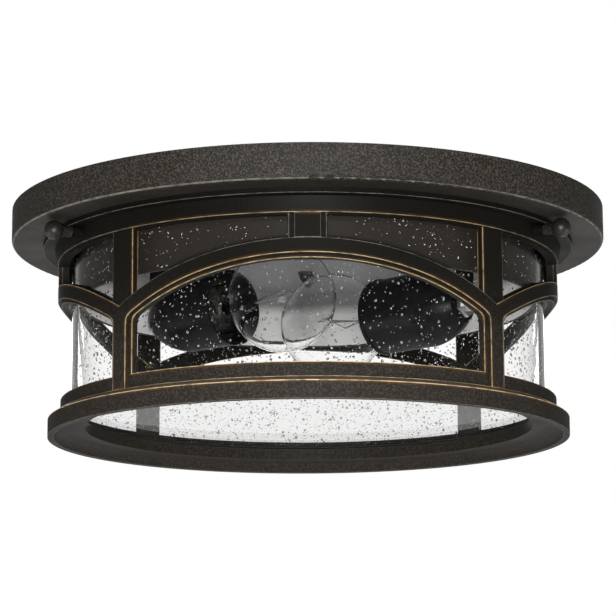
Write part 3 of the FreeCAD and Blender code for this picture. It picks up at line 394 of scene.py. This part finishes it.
def cageEdges(tree):
    place = objectPlace(tree)
    x, y, z = splitOf(tree, place)
    radius = lengthOf(tree, x, y)
    turn = mathOf(tree, "ARCTAN2", y, x)
    turn = mathOf(tree, "WRAP", turn, arcade["halfBay"], -arcade["halfBay"])
    bay = mathOf(tree, "ABSOLUTE", turn)  # angle from the middle of the nearest bay
    # front and back bays, whose lines are painted lit differently from the side bays
    front = mathOf(tree, "GREATER_THAN", mathOf(tree, "ABSOLUTE", y), mathOf(tree, "ABSOLUTE", x))
    wall = mathOf(tree, "SUBTRACT", radius, arcade["wallRadius"])
    raised = mathOf(tree, "SUBTRACT", radius, arcade["raisedRadius"])
    bore = mathOf(tree, "SUBTRACT", radius, arcade["boreRadius"])
    onWall = mathOf(tree, "MULTIPLY", bay, arcade["wallRadius"])
    onRaised = mathOf(tree, "MULTIPLY", bay, arcade["raisedRadius"])

    bandTop = archDistance(tree, onRaised, z, arcade["bandUpper"])
    above = mathOf(tree, "GREATER_THAN", bandTop, 0.0)
    onCage = mathOf(tree, "GREATER_THAN", z, arcade["railTop"] - arcade["railEdge"])
    below = mathOf(tree, "MULTIPLY", mathOf(tree, "SUBTRACT", 1.0, above), onCage)

    windowHalf = arcade["wallRadius"] * arcade["halfBay"] - arcade["postHalf"]
    window = mathOf(tree, "SMOOTH_MAX", archDistance(tree, onWall, z, arcade["windowArch"]),
                    mathOf(tree, "SUBTRACT", onWall, windowHalf), arcade["windowCorner"])
    window = mathOf(tree, "MAXIMUM", window, mathOf(tree, "SUBTRACT", arcade["windowLow"], z))
    bandHalf = arcade["raisedRadius"] * arcade["halfBay"] - arcade["bandPostHalf"]
    band = mathOf(tree, "SMOOTH_MAX", archDistance(tree, onRaised, z, arcade["bandLower"]),
                  mathOf(tree, "SUBTRACT", onRaised, bandHalf), arcade["bandCorner"])
    postStart = arcade["halfBay"] - arcade["postHalf"] / arcade["wallRadius"]
    post = mathOf(tree, "MULTIPLY", mathOf(tree, "SUBTRACT", bay, postStart), arcade["wallRadius"])

    edges = {  # distance across the edge, distance out from its surface, and where it shows
        "window": (window, wall, below),
        "band": (band, raised, below),
        "bandTop": (bandTop, raised, None),
        "bandBore": (mathOf(tree, "SUBTRACT", bandTop, arcade["boreLift"]), bore, None),
        "post": (post, wall, above),
        "postBore": (post, bore, above),
        "key": (mathOf(tree, "SUBTRACT", onWall, arcade["keyHalf"]), wall, above),
        "raisedKey": (mathOf(tree, "SUBTRACT", onRaised, arcade["raisedKeyHalf"]), raised, above),
    }
    for name, ring in cageRings.items():
        edges[name] = (*ringLine(tree, radius, z, ring), None)
    lines = []
    for name, (across, out, where) in edges.items():
        line = {"across": across, "out": out}
        for metal, shares in lineShares[name].items():
            line[metal] = shareOf(tree, front, where, *shares)
        lines.append(line)
    return lineMasks(tree, place, lines)


finishes = {
    "bronzePan": makeBronze("bronzePan", panEdges),
    "bronzeCage": makeBronze("bronzeCage", cageEdges),
    "bronzeKnob": makeBronze("bronzeKnob"),
}
print("bronze coats made")


# white enamel dish

enamelCoat = {
    "white": (0.92, 0.91, 0.89, 1),
    "worn": (0.85, 0.84, 0.82, 1),
    "cloudNoise": (35.0, 3.0, 0.6),
    "cloudRange": (0.35, 0.70),
    # painted shade: grey on the dish's ceiling, above the shade heights
    "paintedCeilingShade": (0.20, 0.20, 0.205, 1),
    "paintedCeilingShadeHeight": (-0.033, -0.025),
    "outside": (0.028, 0.023, 0.019, 1),
    "outsideFacing": 0.15,
    "hemHeight": -0.0515,
    "roughness": 0.42,
    "outsideRoughness": 0.5,
    "specular": 0.2,
    "peelNoise": (700.0, 2.0, 0.5),
    "bump": 0.12,
    "bumpHeight": 0.0001,
}


def makeDishCoat():  # white inside with painted shade grey on the ceiling, bronze on the outer skin and the hem
    material, tree, shader, surface = newMaterial("dishCoat")
    place = objectPlace(tree)
    height = splitOf(tree, place)["Z"]
    sideways = vectorMathOf(tree, "MULTIPLY", place, (1, 1, 0))["Vector"]
    outward = vectorMathOf(tree, "NORMALIZE", sideways)["Vector"]
    normal = tree.nodes.new("ShaderNodeNewGeometry").outputs["Normal"]
    facing = vectorMathOf(tree, "DOT_PRODUCT", outward, normal)["Value"]
    outer = mathOf(tree, "GREATER_THAN", facing, enamelCoat["outsideFacing"])
    outer = mathOf(tree, "MAXIMUM", outer, mathOf(tree, "LESS_THAN", height, enamelCoat["hemHeight"]))
    cloud = rampBetween(tree, noiseOf(tree, place, *enamelCoat["cloudNoise"]), *enamelCoat["cloudRange"])
    colour = blendColour(tree, cloud, enamelCoat["white"], enamelCoat["worn"])
    # painted shade: the ceiling of the dish is greyer than its wall
    paintedCeilingShade = rampBetween(tree, height, *enamelCoat["paintedCeilingShadeHeight"])
    colour = blendColour(tree, paintedCeilingShade, colour, enamelCoat["paintedCeilingShade"])
    colour = blendColour(tree, outer, colour, enamelCoat["outside"])
    roughness = blendValue(tree, outer, enamelCoat["roughness"], enamelCoat["outsideRoughness"])
    feed(tree, shader.inputs["Base Color"], colour)
    feed(tree, shader.inputs["Roughness"], roughness)
    shader.inputs["Specular IOR Level"].default_value = enamelCoat["specular"]
    peel = noiseOf(tree, place, *enamelCoat["peelNoise"])
    bumped(tree, shader, peel, enamelCoat["bump"], enamelCoat["bumpHeight"])
    tree.links.new(shader.outputs["BSDF"], surface)
    return material


finishes["dishCoat"] = makeDishCoat()


# bare metals

metals = {
    "zincPlate": {"colour": (0.62, 0.62, 0.60, 1), "dull": (0.46, 0.46, 0.44, 1), "roughness": 0.30,
                  "scale": 260.0, "stretch": (1, 1, 6)},
    "nickelShell": {"colour": (0.68, 0.67, 0.64, 1), "dull": (0.52, 0.51, 0.48, 1), "roughness": 0.22,
                    "scale": 500.0},
    "brassContact": {"colour": (0.78, 0.58, 0.28, 1), "dull": (0.58, 0.42, 0.20, 1), "roughness": 0.28,
                     "scale": 500.0},
    "solderTip": {"colour": (0.55, 0.55, 0.55, 1), "dull": (0.40, 0.40, 0.40, 1), "roughness": 0.35,
                  "scale": 900.0},
    "tungstenWire": {"colour": (0.30, 0.29, 0.28, 1), "dull": (0.20, 0.19, 0.18, 1), "roughness": 0.35,
                     "scale": 900.0},
}
metalStreaks = {"detail": 3.0, "roughness": 0.6, "between": (0.35, 0.65), "rougher": 0.15,
                "bump": 0.1, "bumpHeight": 0.00005}


def makeMetal(name, metal):
    material, tree, shader, surface = newMaterial(name)
    place = objectPlace(tree)
    if "stretch" in metal:
        mapping = tree.nodes.new("ShaderNodeMapping")
        mapping.inputs["Scale"].default_value = metal["stretch"]
        tree.links.new(place, mapping.inputs["Vector"])
        place = mapping.outputs["Vector"]
    noise = noiseOf(tree, place, metal["scale"], metalStreaks["detail"], metalStreaks["roughness"])
    streak = rampBetween(tree, noise, *metalStreaks["between"])
    rougher = metal["roughness"] + metalStreaks["rougher"]
    feed(tree, shader.inputs["Base Color"], blendColour(tree, streak, metal["colour"], metal["dull"]))
    feed(tree, shader.inputs["Roughness"], blendValue(tree, streak, metal["roughness"], rougher))
    shader.inputs["Metallic"].default_value = 1.0
    bumped(tree, shader, streak, metalStreaks["bump"], metalStreaks["bumpHeight"])
    tree.links.new(shader.outputs["BSDF"], surface)
    return material


finishes.update({name: makeMetal(name, metal) for name, metal in metals.items()})


# enamel, plastic and rubber

plains = {
    "blackEnamel": {"colour": (0.005, 0.005, 0.005, 1), "tone": (0.009, 0.009, 0.009, 1),
                    "roughness": 0.30, "scale": 240.0, "coat": 0.0, "specular": 0.08},
    "blackPhenolic": {"colour": (0.010, 0.009, 0.008, 1), "tone": (0.016, 0.014, 0.013, 1),
                      "roughness": 0.42, "scale": 180.0, "coat": 0.0, "specular": 0.3},
    "gasketRubber": {"colour": (0.022, 0.022, 0.022, 1), "tone": (0.035, 0.034, 0.033, 1),
                     "roughness": 0.75, "scale": 500.0, "coat": 0.0, "specular": 0.5},
    "bushingNylon": {"colour": (0.020, 0.020, 0.020, 1), "tone": (0.030, 0.030, 0.030, 1),
                     "roughness": 0.45, "scale": 300.0, "coat": 0.0, "specular": 0.5},
    "groundGreen": {"colour": (0.02, 0.22, 0.07, 1), "tone": (0.03, 0.28, 0.10, 1),
                    "roughness": 0.35, "scale": 300.0, "coat": 0.0, "specular": 0.5},
    "blackVitrite": {"colour": (0.006, 0.006, 0.008, 1), "tone": (0.012, 0.012, 0.015, 1),
                     "roughness": 0.12, "scale": 300.0, "coat": 0.4, "specular": 0.5},
}
plainClouds = {"detail": 3.0, "roughness": 0.6, "between": (0.30, 0.70), "rougher": 0.12,
               "bump": 0.1, "bumpHeight": 0.0001}


def makePlain(name, plain):
    material, tree, shader, surface = newMaterial(name)
    place = objectPlace(tree)
    noise = noiseOf(tree, place, plain["scale"], plainClouds["detail"], plainClouds["roughness"])
    cloud = rampBetween(tree, noise, *plainClouds["between"])
    rougher = plain["roughness"] + plainClouds["rougher"]
    feed(tree, shader.inputs["Base Color"], blendColour(tree, cloud, plain["colour"], plain["tone"]))
    feed(tree, shader.inputs["Roughness"], blendValue(tree, cloud, plain["roughness"], rougher))
    shader.inputs["Coat Weight"].default_value = plain["coat"]
    shader.inputs["Specular IOR Level"].default_value = plain["specular"]
    bumped(tree, shader, cloud, plainClouds["bump"], plainClouds["bumpHeight"])
    tree.links.new(shader.outputs["BSDF"], surface)
    return material


finishes.update({name: makePlain(name, plain) for name, plain in plains.items()})


# clear glass and the air seeds in it

glasses = {
    # painted shade: the bulb's darker rim stands for the light its edge bends away
    "bulbGlass": {"tint": (0.98, 0.98, 0.98, 1), "ior": 1.16, "silver": 0.0,
                  "rim": (0.30, 0.30, 0.30, 1), "rimRange": (0.80, 0.99)},
    "drumGlass": {"tint": (0.997, 0.996, 0.990, 1), "ior": 1.14, "silver": 0.0, "wave": 0.25},
    "discGlass": {"tint": (0.995, 0.995, 0.995, 1), "ior": 1.06, "silver": 0.0, "wave": 0.08},
    # painted shade: the grey tints and dark rims of the air seeds stand for the light the bubbles bend
    # away
    "drumSeed": {"tint": (0.75, 0.75, 0.75, 1), "ior": 1.75, "silver": 0.4,
                 "rim": (0.02, 0.02, 0.02, 1), "rimRange": (0.25, 0.60)},
    "discSeed": {"tint": (0.30, 0.30, 0.30, 1), "ior": 1.75, "silver": 0.2,
                 "rim": (0.02, 0.02, 0.02, 1), "rimRange": (0.25, 0.60)},
}
glassLook = {
    "rimBlend": 0.5,
    "ripple": (45.0, 1.0, 0.5),
    "rippleShare": 0.35,
    "pinheads": 330.0,
    "pinheadRange": (0.16, 0.0),
    "pinheadsFrom": 0.55,  # cells with a lower random value stay empty
    "waveHeight": 0.0003,
    "clear": (0.96, 0.96, 0.96, 1),
}


def glassRim(tree, glass):  # the edge of a bubble bends the light away and looks dark
    weight = tree.nodes.new("ShaderNodeLayerWeight")
    weight.inputs["Blend"].default_value = glassLook["rimBlend"]
    edge = rampBetween(tree, weight.outputs["Facing"], *glass["rimRange"])
    return blendColour(tree, edge, glass["tint"], glass["rim"])


def glassWaves(tree):  # slow ripples, and pinhead seeds too small to model one by one
    place = objectPlace(tree)
    ripple = noiseOf(tree, place, *glassLook["ripple"])
    cells = tree.nodes.new("ShaderNodeTexVoronoi")
    cells.inputs["Scale"].default_value = glassLook["pinheads"]
    tree.links.new(place, cells.inputs["Vector"])
    dot = rampBetween(tree, cells.outputs["Distance"], *glassLook["pinheadRange"])
    chance = splitOf(tree, cells.outputs["Color"])["X"]
    some = mathOf(tree, "GREATER_THAN", chance, glassLook["pinheadsFrom"])
    ripple = mathOf(tree, "MULTIPLY", ripple, glassLook["rippleShare"])
    return mathOf(tree, "ADD", ripple, mathOf(tree, "MULTIPLY", dot, some))


def makeGlass(name, glass):
    material, tree, shader, surface = newMaterial(name)
    colour = glassRim(tree, glass) if "rim" in glass else glass["tint"]
    feed(tree, shader.inputs["Base Color"], colour)
    shader.inputs["Roughness"].default_value = 0.0
    shader.inputs["Transmission Weight"].default_value = 1.0
    shader.inputs["Metallic"].default_value = glass["silver"]
    shader.inputs["IOR"].default_value = glass["ior"]
    if "wave" in glass:
        bumped(tree, shader, glassWaves(tree), glass["wave"], glassLook["waveHeight"])
    clear = tree.nodes.new("ShaderNodeBsdfTransparent")
    clear.inputs["Color"].default_value = glassLook["clear"]
    rays = tree.nodes.new("ShaderNodeLightPath")  # shadow, diffuse and mirrored rays pass straight through
    passing = mathOf(tree, "MAXIMUM", rays.outputs["Is Shadow Ray"], rays.outputs["Is Diffuse Ray"])
    mirrored = mathOf(tree, "SUBTRACT", rays.outputs["Is Glossy Ray"], rays.outputs["Is Transmission Ray"])
    mixer = tree.nodes.new("ShaderNodeMixShader")
    tree.links.new(mathOf(tree, "MAXIMUM", passing, mirrored), mixer.inputs[0])
    tree.links.new(shader.outputs["BSDF"], mixer.inputs[1])
    tree.links.new(clear.outputs["BSDF"], mixer.inputs[2])
    tree.links.new(mixer.outputs["Shader"], surface)
    return material


finishes.update({name: makeGlass(name, glass) for name, glass in glasses.items()})
print("finishes made:", len(finishes))


# the finish of each CAD node

nodeFinish = {
    "canopy_pan": "bronzePan", "cage_collar": "bronzePan", "cap_nuts": "bronzePan",
    "cage_casting": "bronzeCage", "thumbscrew_rear": "bronzeKnob",
    "reflector_dish": "dishCoat", "glass_drum": "drumGlass", "glass_disc": "discGlass",
    "ceiling_gasket": "gasketRubber", "drum_top_gasket": "gasketRubber", "disc_gasket": "gasketRubber",
    "drum_seat_gasket": "gasketRubber", "sealing_washers": "gasketRubber", "lead_bushing": "bushingNylon",
    "mounting_strap": "zincPlate", "mounting_studs": "zincPlate", "bracket_rivets": "zincPlate",
    "socket_nipples": "zincPlate", "jam_nuts": "zincPlate", "ground_screw": "groundGreen",
}
pairFinish = {  # nodes that come as a left and a right one
    "thumbscrew": "bronzeKnob", "socket_cup": "blackEnamel", "socket_bracket": "blackEnamel",
    "socket_insulator": "blackPhenolic", "screw_shell": "nickelShell", "centre_contact": "brassContact",
    "bulb_glass": "bulbGlass", "bulb_cap": "nickelShell", "bulb_vitrite": "blackVitrite",
    "bulb_tip": "solderTip", "bulb_stem": "bulbGlass", "bulb_filament": "tungstenWire",
}
for node, finish in pairFinish.items():
    for side in ("left", "right"):
        nodeFinish[node + "_" + side] = finish
for node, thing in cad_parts.items():
    thing.data.materials.clear()
    thing.data.materials.append(finishes[nodeFinish[node]])
print("nodes finished:", len(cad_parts))


# air seeds in the two glasses

drumSeeds = {
    "count": 4800,
    "randomStart": 41,
    "least": 0.00028,
    "most": 0.00085,
    "radius": 0.1294,  # the middle of the drum's wall
    "margin": 0.003,
    "stretch": (0.8, 1.25),
}
discSeeds = {
    "count": 3000,
    "randomStart": 67,
    "least": 0.00020,
    "most": 0.00058,
    "reach": 0.121,
    "stretch": 0.9,
    "turn": (0, 3),
}
seedShape = {
    "segments": 8,
    "rings": 5,
    "flat": 0.8,
    "smallness": 2.4,  # the higher it is, the fewer of the seeds are large
}


def deselectAll():
    bpy.ops.object.select_all(action="DESELECT")


def makeSeeds(name, finish, places):  # one joined piece of small bubbles
    deselectAll()
    bpy.ops.mesh.primitive_uv_sphere_add(segments=seedShape["segments"], ring_count=seedShape["rings"],
                                         radius=1.0)
    pattern = bpy.context.object
    corners = [vertex.co.copy() for vertex in pattern.data.vertices]
    faces = [tuple(face.vertices) for face in pattern.data.polygons]
    bpy.data.objects.remove(pattern)
    points = []
    loops = []
    for spot, size, stretch, turn in places:
        start = len(points)
        shape = Matrix.Translation(spot) @ Matrix.Rotation(turn, 4, "Z")
        shape = shape @ Matrix.Diagonal((size, size * seedShape["flat"], size * stretch, 1))
        points += [shape @ corner for corner in corners]
        loops += [tuple(index + start for index in face) for face in faces]
    mesh = bpy.data.meshes.new(name)
    mesh.from_pydata(points, [], loops)
    piece = bpy.data.objects.new(name, mesh)
    bpy.context.scene.collection.objects.link(piece)
    deselectAll()
    piece.select_set(True)
    bpy.context.view_layer.objects.active = piece
    bpy.ops.object.shade_smooth_by_angle(angle=math.pi)
    piece.data.materials.append(finishes[finish])
    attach(piece, "cage")


def seedSize(chance, seeds):
    return seeds["least"] + (seeds["most"] - seeds["least"]) * chance.random() ** seedShape["smallness"]


def roundSpot(radius, turn, height):
    return Vector((radius * math.cos(turn), radius * math.sin(turn), height))


def drumPlaces():  # place, size, stretch and turn of each seed
    chance = random.Random(drumSeeds["randomStart"])
    low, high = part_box("glass_drum")
    places = []
    for count in range(drumSeeds["count"]):
        size = seedSize(chance, drumSeeds)
        turn = chance.uniform(0, 2 * math.pi)
        height = chance.uniform(low.z + drumSeeds["margin"], high.z - drumSeeds["margin"])
        spot = roundSpot(drumSeeds["radius"], turn, height)
        places.append((spot, size, chance.uniform(*drumSeeds["stretch"]), turn + math.pi / 2))
    return places


def discPlaces():
    chance = random.Random(discSeeds["randomStart"])
    low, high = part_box("glass_disc")
    places = []
    for count in range(discSeeds["count"]):
        size = seedSize(chance, discSeeds)
        reach = discSeeds["reach"] * math.sqrt(chance.random())
        turn = chance.uniform(0, 2 * math.pi)
        spot = roundSpot(reach, turn, (low.z + high.z) / 2)
        places.append((spot, size, discSeeds["stretch"], chance.uniform(*discSeeds["turn"])))
    return places


places = drumPlaces()
half = len(places) // 2
makeSeeds("drumSeeds", "drumSeed", places[:half])
makeSeeds("drumSeedsMore", "drumSeed", places[half:])
makeSeeds("discSeeds", "discSeed", discPlaces())
print("air seeds made")


# camera

cameraPlace = {"back": 1.442, "height": -0.336, "pitch": 11.13, "roll": -0.29,
               "lens": 153.8, "sensor": 36.0, "clipStart": 0.05}


def makeCamera():
    deselectAll()
    bpy.ops.object.camera_add(location=(0, -cameraPlace["back"], cameraPlace["height"]))
    camera = bpy.context.object
    tilt = Matrix.Rotation(math.radians(90 + cameraPlace["pitch"]), 4, "X")
    roll = Matrix.Rotation(math.radians(cameraPlace["roll"]), 4, "Z")
    camera.matrix_world = Matrix.Translation(camera.location) @ tilt @ roll
    camera.data.lens = cameraPlace["lens"]
    camera.data.sensor_width = cameraPlace["sensor"]
    camera.data.clip_start = cameraPlace["clipStart"]
    bpy.context.scene.camera = camera


# studio: background, floor and lamps

studio = {
    "white": (1, 1, 1, 1),
    "background": 1.0,
    "ambient": 0.14,
    "mirrored": 0.60,
    "darkFront": 0.12,
    "worldShade": (0.80, 0.97),
    "floorHeight": -2.4,
    "floorSize": 24.0,
    "floorColour": (0.82, 0.82, 0.82, 1),
    "floorGlow": 0.45,
    "floorMirrored": 1.0,
    "floorShade": (-3.0, 0.3),
    "aim": (0, 0, -0.06),
    "lamps": [
        {"place": (0.00, -0.80, 1.75), "width": 0.80, "power": 92.0},
        {"place": (0.00, -1.90, -0.55), "width": 0.50, "power": 36.0},
        {"place": (-1.60, -0.30, -1.00), "width": 0.70, "power": 6.0},
        {"place": (1.60, -0.30, -1.00), "width": 0.70, "power": 6.0},
        {"place": (0.00, 1.80, 0.60), "width": 1.20, "power": 16.0},
    ],
}


def backgroundRays(tree, towardsBack, mirrored):  # what camera, glass and mirrored rays see of it
    rays = tree.nodes.new("ShaderNodeLightPath")
    direct = mathOf(tree, "MAXIMUM", rays.outputs["Is Camera Ray"], rays.outputs["Is Transmission Ray"])
    glossy = mathOf(tree, "MULTIPLY", rays.outputs["Is Glossy Ray"], towardsBack)
    return mathOf(tree, "MAXIMUM", direct, mathOf(tree, "MULTIPLY", glossy, mirrored))


def alongY(tree, coordinate, low, high):  # darker towards the front, where the studio is unlit
    place = tree.nodes.new("ShaderNodeTexCoord").outputs[coordinate]
    return rampBetween(tree, splitOf(tree, place)["Y"], low, high, studio["darkFront"], 1.0)


def makeWorld():
    world = bpy.data.worlds.new("studioWorld")
    bpy.context.scene.world = world
    tree = emptyTree(world)
    light = tree.nodes.new("ShaderNodeBackground")
    light.inputs["Color"].default_value = studio["white"]
    rays = backgroundRays(tree, alongY(tree, "Generated", *studio["worldShade"]), studio["mirrored"])
    shown = mathOf(tree, "MULTIPLY", rays, studio["background"])
    tree.links.new(mathOf(tree, "MAXIMUM", shown, studio["ambient"]), light.inputs["Strength"])
    surface = tree.nodes.new("ShaderNodeOutputWorld").inputs["Surface"]
    tree.links.new(light.outputs["Background"], surface)


def makeFloor():
    deselectAll()
    bpy.ops.mesh.primitive_plane_add(size=studio["floorSize"], location=(0, 0, studio["floorHeight"]))
    floor = bpy.context.object
    floor.name = "studioFloor"
    material = bpy.data.materials.new("paleFloor")
    tree = emptyTree(material)
    paint = tree.nodes.new("ShaderNodeBsdfDiffuse")
    paint.inputs["Color"].default_value = studio["floorColour"]
    glow = tree.nodes.new("ShaderNodeEmission")
    glow.inputs["Color"].default_value = studio["white"]
    shown = backgroundRays(tree, alongY(tree, "Object", *studio["floorShade"]), studio["floorMirrored"])
    tree.links.new(mathOf(tree, "MULTIPLY", shown, studio["floorGlow"]), glow.inputs["Strength"])
    both = tree.nodes.new("ShaderNodeAddShader")
    tree.links.new(paint.outputs["BSDF"], both.inputs[0])
    tree.links.new(glow.outputs["Emission"], both.inputs[1])
    surface = tree.nodes.new("ShaderNodeOutputMaterial").inputs["Surface"]
    tree.links.new(both.outputs["Shader"], surface)
    floor.data.materials.append(material)


def makeLamps():
    for lampPlan in studio["lamps"]:
        deselectAll()
        bpy.ops.object.light_add(type="AREA", location=lampPlan["place"])
        lamp = bpy.context.object
        lamp.data.shape = "DISK"
        lamp.data.size = lampPlan["width"]
        lamp.data.energy = lampPlan["power"]
        towards = Vector(studio["aim"]) - Vector(lampPlan["place"])
        lamp.rotation_euler = towards.to_track_quat("-Z", "Y").to_euler()
        lamp.visible_transmission = False  # no lamp is seen through the glass


makeCamera()
makeWorld()
makeFloor()
makeLamps()
bpy.context.scene.view_settings.view_transform = "Standard"
print("camera, light and floor set")
